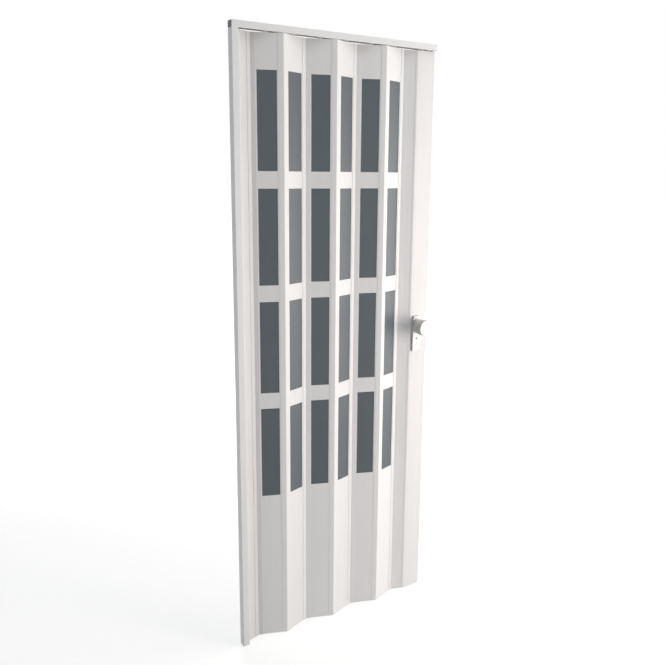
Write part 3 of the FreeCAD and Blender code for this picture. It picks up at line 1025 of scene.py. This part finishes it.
@dataclass(frozen=True)
class HingeStrips:
    """Soft strips on the fold lines, whose lips hold the slats' edges."""

    thickness: float = 8 * MM
    slot: float = 6 * MM
    reach: float = 16.25 * MM
    gap: float = 5.25 * MM
    end_reach: float = 7 * MM
    end_gap: float = 4.2 * MM
    lip: float = 0.8 * MM
    inner: float = 0.2 * MM
    end_ease: float = 0.3 * MM
    head_back: float = 1.9 * MM
    head_front: float = 4.9 * MM
    head_width: float = 24.2 * MM
    core_steps: int = 10

    def arm_end(self, arm: Arm) -> list[Corner]:
        """Give the corners round an arm's free end, with the slot for a slat.

        Args:
            arm: the arm.

        Returns:
            The corners, counter-clockwise.
        """
        along = Vector((math.cos(arm.direction), math.sin(arm.direction)))
        beside = Vector((-along.y, along.x))
        outer, slot = self.thickness / 2, self.slot / 2
        half = [(arm.reach, -outer, self.lip), (arm.reach, -slot, self.inner), (arm.gap, -slot, self.inner)]
        spots = [*half, *((reach, -offset, radius) for reach, offset, radius in reversed(half))]
        corners = []
        for reach, offset, radius in spots:
            spot = along * reach + beside * offset
            corners.append(Corner(spot.x, spot.y, radius))
        return corners

    def bend(self, first: float, second: float) -> list[Corner]:
        """Give the bend between two arms, met counter-clockwise.

        Args:
            first: direction of the arm that is left.
            second: direction of the arm that is met.

        Returns:
            An arc about the fold line where the bend is convex, or else its inner corner.
        """
        opening = (second - first) % (2 * math.pi)
        outer = self.thickness / 2
        if opening < math.pi:
            middle = first + opening / 2
            reach = outer / math.sin(opening / 2)
            return [Corner(reach * math.cos(middle), reach * math.sin(middle), self.lip)]
        low, high = first + math.pi / 2, first + opening - math.pi / 2
        turns = (low + (high - low) * step / self.core_steps for step in range(self.core_steps + 1))
        return [Corner(outer * math.cos(turn), outer * math.sin(turn)) for turn in turns]

    def section(self, right: Arm, left: Arm) -> Outline:
        """Give the section of a strip with two arms.

        Args:
            right: the arm that is met first.
            left: the other arm.

        Returns:
            Its outline about the fold line.
        """
        corners = self.arm_end(right) + self.bend(right.direction, left.direction)
        corners += self.arm_end(left) + self.bend(left.direction, right.direction + 2 * math.pi)
        return rounded(corners)

    def start_section(self) -> Outline:
        """Give the section of the start strip: a head and neck in the jamb and one short arm.

        Returns:
            Its outline about the start line.
        """
        outer, half_head = self.thickness / 2, self.head_width / 2
        back, front = self.head_back - PLAN.start, self.head_front - PLAN.start
        arm = Arm(PLAN.angle, self.end_reach, self.end_gap)
        corners = self.arm_end(arm) + self.bend(PLAN.angle, math.pi)
        corners += [Corner(front, outer, self.lip), Corner(front, half_head, self.inner)]
        corners += [Corner(back, half_head, self.inner), Corner(back, -half_head, self.inner)]
        corners += [Corner(front, -half_head, self.inner), Corner(front, -outer, self.lip)]
        corners += self.bend(math.pi, PLAN.angle + 2 * math.pi)
        return rounded(corners)

    def strip(self, outline: Outline, place: Matrix) -> Shape:
        """Raise a strip's section to the slats' height on its fold line."""
        shape = Shape().prism(outline, 0.0, PLAN.height)
        return shape.rimmed(self.end_ease, (0.0, PLAN.height), steps=1).moved(place)

    def build(self) -> None:
        """Make the start strip, the hinge strips and the end strip."""
        turn = PLAN.angle
        # The start strip and the first hinge strip take the greyer copy of the vinyl: painted shade.
        first = self.strip(self.start_section(), at(PLAN.start, up=PLAN.foot))
        deliver(first, "strip_start", "start_strip", START_STRIP_SHADED)
        hinge = self.section(Arm(-turn, self.reach, self.gap), Arm(math.pi + turn, self.reach, self.gap))
        for index in range(PLAN.slats + 1):
            flip = Matrix.Rotation(math.pi * (index % 2), 4, "Z")
            shape = self.strip(hinge, at(*PLAN.fold(index)) @ flip)
            number, finish = index + 1, START_STRIP_SHADED if index == 0 else STRIP_VINYL
            deliver(shape, f"strip_fold_{number}", f"hinge_strip_{number}", finish)
        slat_arm = Arm(math.pi - turn, self.end_reach, self.end_gap)
        last = self.section(Arm(0.0, self.end_reach, self.end_gap), slat_arm)
        shape = self.strip(last, at(PLAN.end, up=PLAN.foot))
        deliver(shape, "strip_end", "end_strip", STRIP_VINYL)


@dataclass(frozen=True)
class Slats:
    """Glazed slats with four windows each, their panes, and the plain half slats at both ends."""

    thickness: float = 6 * MM
    gap: float = 5.25 * MM
    end_gap: float = 4.2 * MM
    window: float = 62.5 * MM
    foot_margin: float = 525.9 * MM
    head_margin: float = 107.2 * MM
    lowest: float = 310.6 * MM
    highest: float = 301.6 * MM
    bar: float = 54 * MM
    bars: int = 3
    groove: float = 2 * MM
    pane: float = 2.4 * MM
    clearance: float = 0.3 * MM
    ease: float = 0.6 * MM
    pane_corner: float = 1.5 * MM
    pane_ease: float = 0.3 * MM

    @property
    def left(self) -> float:
        """Left edge of the windows, along the slat."""
        return (PLAN.pitch - self.window) / 2

    @property
    def right(self) -> float:
        """Right edge of the windows, along the slat."""
        return (PLAN.pitch + self.window) / 2

    @property
    def top(self) -> float:
        """Head of the highest window above the slat's foot."""
        return PLAN.height - self.head_margin

    def spans(self) -> list[tuple[float, float]]:
        """Give the foot and head of each window above the slat's foot.

        Returns:
            Both for each window, the lowest first.
        """
        glazed = self.top - self.foot_margin
        middle = (glazed - self.lowest - self.highest - self.bars * self.bar) / 2
        spans, foot = [], self.foot_margin
        for height in (self.lowest, middle, middle, self.highest):
            spans.append((foot, foot + height))
            foot += height + self.bar
        return spans

    def is_board(self, spot: Vector) -> bool:
        """Say whether a point of the slat's own frame is in the board.

        Args:
            spot: the point: along the slat, through it, and up.

        Returns:
            Whether the board is solid there.
        """
        across, through, up = spot
        inside = self.left < across < self.right
        if inside and any(foot < up < head for foot, head in self.spans()):
            return False
        grooved = self.left - self.groove < across < self.right + self.groove
        grooved = grooved and self.foot_margin - self.groove < up < self.top + self.groove
        return not (grooved and abs(through) < self.pane / 2)

    def board(self) -> Shape:
        """Build a glazed slat in its own frame, with its windows' edges eased.

        Returns:
            Its shape.
        """
        half, groove = self.thickness / 2, self.pane / 2
        across = (self.gap, self.left - self.groove, self.left, self.right, self.right + self.groove)
        across = (*across, PLAN.pitch - self.gap)
        levels = {0.0, PLAN.height, self.foot_margin - self.groove, self.top + self.groove}
        levels.update(level for span in self.spans() for level in span)
        shape = Shape().lattice((across, (-half, -groove, groove, half), sorted(levels)), self.is_board)
        return shape.eased(self.ease, lambda edge: all(abs(v.co.y) > half - TOUCH for v in edge.verts))

    def sheet(self) -> Shape:
        """Build a pane in its slat's own frame: one long sheet in the groove behind the bars.

        Returns:
            Its shape.
        """
        edge = self.groove - self.clearance
        left, right = self.left - edge, self.right + edge
        foot, head = self.foot_margin - edge, self.top + edge
        outline = rounded(oblong(left, right, foot, head, self.pane_corner))
        shape = Shape().prism(outline, -self.pane / 2, self.pane / 2)
        shape.eased(self.pane_ease, lambda edge: True)
        return shape.moved(Matrix.Rotation(math.pi / 2, 4, "X"))

    def half_board(self, left: float, right: float, place: Matrix) -> Shape:
        """Build a plain half slat between two places along it.

        Args:
            left: where it starts.
            right: where it ends.
            place: the frame that it lies in.

        Returns:
            Its shape.
        """
        half = self.thickness / 2
        shape = Shape().prism(rounded(oblong(left, right, -half, half)), 0.0, PLAN.height)
        return shape.eased(self.ease, lambda edge: True).moved(place)

    def build(self) -> None:
        """Make the slats, the panes and the half slats."""
        half = PLAN.pitch / 2
        place = at(PLAN.start, up=PLAN.foot) @ Matrix.Rotation(PLAN.angle, 4, "Z")
        # The start half slat takes the greyer copy of the vinyl: painted shade.
        first = self.half_board(self.end_gap, half - self.gap, place)
        deliver(first, "board_start", "start_half_slat", START_SLAT_SHADED)
        for index in range(PLAN.slats):
            number, place = index + 1, PLAN.slat_frame(index)
            board = self.board().moved(place)
            deliver(board, f"board_{number}", f"slat_{number}", SLAT_VINYL)
            sheet = self.sheet().moved(place)
            deliver(sheet, f"sheet_{number}", f"pane_{number}", PANE_SHEET)
        place = PLAN.slat_frame(PLAN.slats)
        last = self.half_board(self.gap, half - self.end_gap, place)
        deliver(last, "board_end", "end_half_slat", SLAT_VINYL)


@dataclass(frozen=True)
class Hangers:
    """Hangers that glide on the rail's lips and carry the slats and the post."""

    glider: float = 10 * MM
    glider_height: float = 4 * MM
    glider_level: float = 2031.1 * MM
    collar: float = 4 * MM
    collar_height: float = 2 * MM
    pin: float = 2 * MM
    pin_depth: float = 40 * MM
    soft: float = 0.8 * MM
    rim: float = 1.2 * MM
    steps: int = 40
    post_places: tuple[float, float] = (17 * MM, 49.2 * MM)

    def hanger(self, across: float) -> Shape:
        """Build the hanger at a place along the rail.

        Args:
            across: the place.

        Returns:
            Its shape.
        """
        tip, neck = PLAN.head - self.pin_depth, PLAN.head + self.collar_height
        foot, top, soft = self.glider_level, self.glider_level + self.glider_height, self.soft
        profile = [Corner(0.0, tip), Corner(self.pin, tip, soft), Corner(self.pin, PLAN.head)]
        profile += [Corner(self.collar, PLAN.head, soft / 2), Corner(self.collar, neck, soft)]
        profile += [Corner(self.pin, neck), Corner(self.pin, foot), Corner(self.glider, foot, soft)]
        profile += [Corner(self.glider, top, self.rim), Corner(0.0, top)]
        return Shape().turned(rounded(profile), self.steps).moved(at(across))

    def build(self) -> None:
        """Make the slats' hangers and the post's two."""
        for number in range(1, PLAN.slats + 1):
            shape = self.hanger(PLAN.start + PLAN.run * number)
            deliver(shape, f"glider_{number}", f"hanger_{number}", HANGER_NYLON)
        for name, inset in zip(("inner", "outer"), self.post_places):
            shape = self.hanger(PLAN.end + inset)
            deliver(shape, f"glider_post_{name}", f"post_hanger_{name}", HANGER_NYLON)


@dataclass(frozen=True)
class Handle:
    """Handle on both faces of the lead post: a plate with a round knob and a key barrel."""

    left: float = 3.7 * MM
    foot: float = 971.4 * MM
    width: float = 34.5 * MM
    height: float = 130.9 * MM
    thickness: float = 10 * MM
    shoulder: float = 9 * MM
    corner: float = 2 * MM
    edge: float = 1 * MM
    post_half: float = 4 * MM
    axis_level: float = 1065.5 * MM
    neck: float = 15 * MM
    neck_length: float = 9 * MM
    knob_back: float = 26.5 * MM
    knob_shoulder: float = 5 * MM
    knob_face: float = 29.4 * MM
    knob_length: float = 58.3 * MM
    knob_rim: float = 1.2 * MM
    spindle: float = 4 * MM
    spindle_insert: float = 24 * MM
    play: float = 0.1 * MM
    barrel: float = 3.25 * MM
    barrel_level: float = 1019 * MM
    barrel_recess: float = 1 * MM
    key_width: float = 1.4 * MM
    key_height: float = 4.2 * MM
    key_depth: float = 4 * MM
    plate_steps: tuple[int, int] = (10, 4)
    knob_steps: int = 6
    bore_steps: int = 48
    steps: int = 128

    @property
    def line(self) -> float:
        """Place of the knob's axis along the rail."""
        return PLAN.end + self.left + self.width / 2

    def frame(self, side: Side) -> Matrix:
        """Give the frame of one face's fittings on the axis: across, up, and out of the door.

        Args:
            side: the face.

        Returns:
            The frame.
        """
        axes = Matrix(((1, 0, 0, 0), (0, 0, -1, 0), (0, 1, 0, 0), (0, 0, 0, 1)))
        turn = Matrix.Rotation(side.value, 4, "Z")
        return at(self.line) @ turn @ axes

    def bored(self, shape: Shape, reach: float, place: Matrix) -> Shape:
        """Bore a shape for the spindle and the key barrel.

        Args:
            shape: the shape.
            reach: how far the bores reach to each side of the door's middle plane.
            place: the frame of the bores: across, up, and along them.

        Returns:
            The shape.
        """
        for radius, level in ((self.spindle, self.axis_level), (self.barrel, self.barrel_level)):
            bore = rod(radius + self.play, -reach, reach, self.bore_steps)
            shape.drilled(bore.moved(place @ at(through=level)))
        return shape

    def plate(self, side: Side) -> Shape:
        """Build a plate with its bores.

        Args:
            side: the face that it is on.

        Returns:
            Its shape.
        """
        half, head = self.width / 2, self.foot + self.height
        low, high = self.post_half, self.post_half + self.thickness
        corners = [Corner(-half, self.foot, self.corner), Corner(half, self.foot, self.corner)]
        corners += [Corner(half, head, self.shoulder), Corner(-half, head, self.shoulder)]
        corner_steps, edge_steps = self.plate_steps
        shape = Shape().prism(rounded(corners, corner_steps), low, high)
        shape.rimmed(self.edge, (high,), edge_steps)
        return self.bored(shape, 2 * high, at()).moved(self.frame(side))

    def knob(self, side: Side) -> Shape:
        """Build a knob: a neck on the plate and a side that flares to a flat face.

        Args:
            side: the face of the door that it is on.

        Returns:
            Its shape.
        """
        bore, start = self.spindle + self.play, self.post_half + self.thickness
        depth = self.spindle_insert + self.play
        profile = [Corner(bore, 0.0), Corner(self.neck, 0.0, self.knob_rim / 2)]
        profile += [Corner(self.neck, self.neck_length, self.knob_rim)]
        profile += [Corner(self.knob_back, self.neck_length, self.knob_shoulder)]
        profile += [Corner(self.knob_face, self.knob_length, self.knob_rim), Corner(0.0, self.knob_length)]
        shape = Shape().turned(rounded(profile, self.knob_steps), self.steps)
        hollow = Shape().turned([(0.0, depth), (bore, depth), (bore, 0.0)], self.steps)
        return shape.joined(hollow).moved(self.frame(side) @ at(0.0, self.axis_level, start))

    def rod_through(self, radius: float, reach: float, level: float, ease: float) -> Shape:
        """Build a round rod across the door.

        Args:
            radius: its radius.
            reach: how far it reaches to each side of the door's middle plane.
            level: the height of its axis.
            ease: the rounding of its ends.

        Returns:
            Its shape.
        """
        profile = [Corner(0.0, -reach), Corner(radius, -reach, ease)]
        profile += [Corner(radius, reach, ease), Corner(0.0, reach)]
        shape = Shape().turned(rounded(profile), self.steps // 2)
        return shape.moved(self.frame(Side.FRONT) @ at(through=level))

    def key_barrel(self) -> Shape:
        """Build the key barrel with a keyway in each end.

        Returns:
            Its shape.
        """
        reach = self.post_half + self.thickness - self.barrel_recess
        shape = self.rod_through(self.barrel, reach, self.barrel_level, self.knob_rim / 4)
        wide, high = self.key_width / 2, self.key_height / 2
        outline = rounded(oblong(-wide, wide, -high, high, wide / 2))
        for side in Side:
            slot = Shape().prism(outline, reach - self.key_depth, reach + self.key_depth)
            shape.drilled(slot.moved(self.frame(side) @ at(through=self.barrel_level)))
        return shape

    def build(self) -> None:
        """Make both plates and knobs, the spindle and the key barrel."""
        for side in Side:
            word = side.name.lower()
            deliver(self.plate(side), f"handle_plate_{word}", f"{word}_plate", PLATE_METAL)
            deliver(self.knob(side), f"handle_knob_{word}", f"{word}_knob", KNOB_METAL)
        reach = self.post_half + self.thickness + self.spindle_insert
        spindle = self.rod_through(self.spindle, reach, self.axis_level, self.knob_rim / 2)
        deliver(spindle, "handle_spindle", "spindle", SPINDLE_STEEL)
        deliver(self.key_barrel(), "handle_barrel", "key_barrel", BARREL_METAL)


@dataclass(frozen=True)
class LeadPost:
    """Lead post: a board with a tongue for the end strip and a rounded closing edge."""

    width: float = 73 * MM
    thickness: float = 8 * MM
    tongue: float = 6 * MM
    gap: float = 4.2 * MM
    reach: float = 7 * MM
    nose: float = 2 * MM
    joint: float = 0.5 * MM
    ease: float = 0.3 * MM
    steps: int = 8

    def section(self) -> Outline:
        """Give the post's section.

        Returns:
            Its outline, along the rail and across it.
        """
        half, tongue = self.thickness / 2, self.tongue / 2
        lower = [Corner(self.gap, -tongue), Corner(self.reach, -tongue)]
        lower += [Corner(self.reach, -half, self.joint), Corner(self.width, -half, self.nose)]
        return rounded(mirrored(lower), self.steps)

    def build(self) -> None:
        """Make the post, bored for the spindle and the key barrel."""
        shape = Shape().prism(self.section(), 0.0, PLAN.height)
        shape.rimmed(self.ease, (0.0, PLAN.height)).moved(at(PLAN.end, up=PLAN.foot))
        fittings = Handle()
        fittings.bored(shape, self.thickness, fittings.frame(Side.FRONT))
        deliver(shape, "post_board", "lead_post", POST_VINYL)


@dataclass(frozen=True)
class Lamp:
    """Soft rectangular lamp that faces the door.

    Its bearing is in degrees from the door's front, to the right of it where positive.
    """

    name: str
    bearing: float
    distance: float
    height: float
    size: tuple[float, float]
    power: float
    colour: Colour = WHITE
    target: tuple[float, float, float] = (0.385, 0.0, 1.0)

    def build(self) -> None:
        """Hang the lamp."""
        data = bpy.data.lights.new(self.name, "AREA")
        data.shape = "RECTANGLE"
        data.size, data.size_y = self.size
        data.energy = self.power
        data.color = self.colour
        item = placed(self.name, data)
        turn = math.radians(self.bearing)
        aside = Vector((math.sin(turn), -math.cos(turn), 0.0)) * self.distance
        item.location = Vector((self.target[0], self.target[1], self.height)) + aside
        away = Vector(self.target) - item.location
        item.rotation_euler = away.to_track_quat("-Z", "Y").to_euler()
        item.visible_camera = False


@dataclass(frozen=True)
class Studio:
    """Pale floor, soft lamps and the camera."""

    fill: Colour = (0.14, 0.172, 0.182)
    floor_tones: tuple[float, float] = (0.49, 0.5)
    floor_near: float = 0.61
    floor_cloud: float = 3.0
    floor_size: float = 60.0
    floor_falloff: tuple[float, float] = (1.2, 4.0)
    sensor: float = 36.0
    image: int = 665
    focal_pixels: float = 742.8
    camera_place: tuple[float, float, float] = (-0.967, -2.12605, 1.6041)
    camera_heading: float = 32.025
    camera_tilt: float = -11.895
    camera_roll: float = 0.384
    lamps: tuple[Lamp, ...] = (
        Lamp("key", 35.0, 2.8, 1.05, (0.9, 1.9), 44.5, (1.0, 0.93, 0.89)),
        Lamp("side", 75.0, 2.8, 1.05, (1.6, 1.9), 36.2, (1.0, 0.957, 0.92)),
        Lamp("top", 70.0, 2.0, 4.2, (2.0, 2.0), 35.5, (1.0, 1.0, 0.92)),
        Lamp("top_left", -40.0, 2.0, 4.2, (2.0, 2.0), 13.5),
        Lamp("return", -80.0, 3.0, 1.0, (1.5, 2.0), 18.0, (1.0, 0.92, 0.9)),
        Lamp("rear", 165.0, 3.0, 1.8, (1.8, 1.8), 60.0, (1.0, 0.97, 0.94)),
    )

    def seen(self, graph: Graph) -> Signal:
        """Give 1 for what the camera sees, straight or in gloss or glass, and 0 for other light.

        Args:
            graph: the graph of the world or the floor.

        Returns:
            The value.
        """
        camera, gloss, glass = (
            graph.add("ShaderNodeLightPath", output=name)
            for name in ("Is Camera Ray", "Is Glossy Ray", "Is Transmission Ray")
        )
        return camera.larger(gloss).larger(glass)

    def surroundings(self) -> None:
        """Set a world that fills the shadows and looks white."""
        world = bpy.data.worlds.new("surroundings")
        bpy.context.scene.world = world
        world.use_nodes = True
        graph = Graph(world.node_tree)
        colour = graph.blend(self.seen(graph), self.fill, WHITE)
        sky = graph.add("ShaderNodeBackground", None, {"Color": colour})
        graph.add("ShaderNodeOutputWorld", None, {"Surface": sky})

    def floor(self) -> None:
        """Lay a pale floor that keeps a faint shadow near the door."""
        shape, half = Shape(), self.floor_size / 2
        rims = ((-half, -half, 0.0), (half, -half, 0.0), (half, half, 0.0), (-half, half, 0.0))
        shape.mesh.faces.new([shape.mesh.verts.new(rim) for rim in rims])
        item = shape.handed_over("floor")
        material, graph = painted("floor_paint")
        tones = [(tone,) * 3 for tone in self.floor_tones]
        distance = graph.add("ShaderNodeVectorMath", {"operation": "LENGTH"}, {0: graph.place()}, "Value")
        level = distance.eased(*self.floor_falloff) * (1.0 - self.floor_near) + self.floor_near
        graph.surface(
            {
                "Base Color": graph.blend(graph.noise(graph.place(), self.floor_cloud), *tones),
                "Emission Color": graph.blend(self.seen(graph) * level, BLACK, WHITE),
                "Emission Strength": 1.0,
                "Roughness": 1.0,
                "Specular IOR Level": 0.0,
            }
        )
        item.data.materials.append(material)
        item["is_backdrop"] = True

    def camera(self) -> None:
        """Set the camera up."""
        heading, tilt, roll = map(math.radians, (self.camera_heading, self.camera_tilt, self.camera_roll))
        level = Vector((math.cos(heading), -math.sin(heading), 0.0))
        forward = Vector((math.sin(heading), math.cos(heading), 0.0)) * math.cos(tilt)
        forward.z = math.sin(tilt)
        upright = level.cross(forward)
        right = level * math.cos(roll) + upright * math.sin(roll)
        up = upright * math.cos(roll) - level * math.sin(roll)
        data = bpy.data.cameras.new("camera")
        data.sensor_width = self.sensor
        data.lens = self.focal_pixels / self.image * self.sensor
        item = placed("camera", data)
        item.matrix_world = at(*self.camera_place) @ Matrix((right, up, -forward)).transposed().to_4x4()
        bpy.context.scene.camera = item

    def build(self) -> None:
        """Set the stage."""
        bpy.context.scene.view_settings.view_transform = "Standard"
        self.surroundings()
        self.floor()
        for lamp in self.lamps:
            lamp.build()
        self.camera()


def keep_sizes() -> None:
    """Put the solids' box and the dressed door's box into plain lists, which nothing uses."""
    boxes = {"cad": CAD_BOX, "visual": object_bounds()}
    plain = {name: [list(corner) for corner in box] for name, box in boxes.items()}


def main() -> None:
    """Build the door from the wall to the post, then the studio around it."""
    logging.basicConfig(level=logging.INFO, format="%(name)s: %(message)s")
    for assembly in (HeadRail(), WallJamb(), HingeStrips(), Slats(), Hangers(), LeadPost(), Handle()):
        LOG.info("building %s", type(assembly).__name__)
        assembly.build()
    Studio().build()
    keep_sizes()


if __name__ == "__main__":
    main()
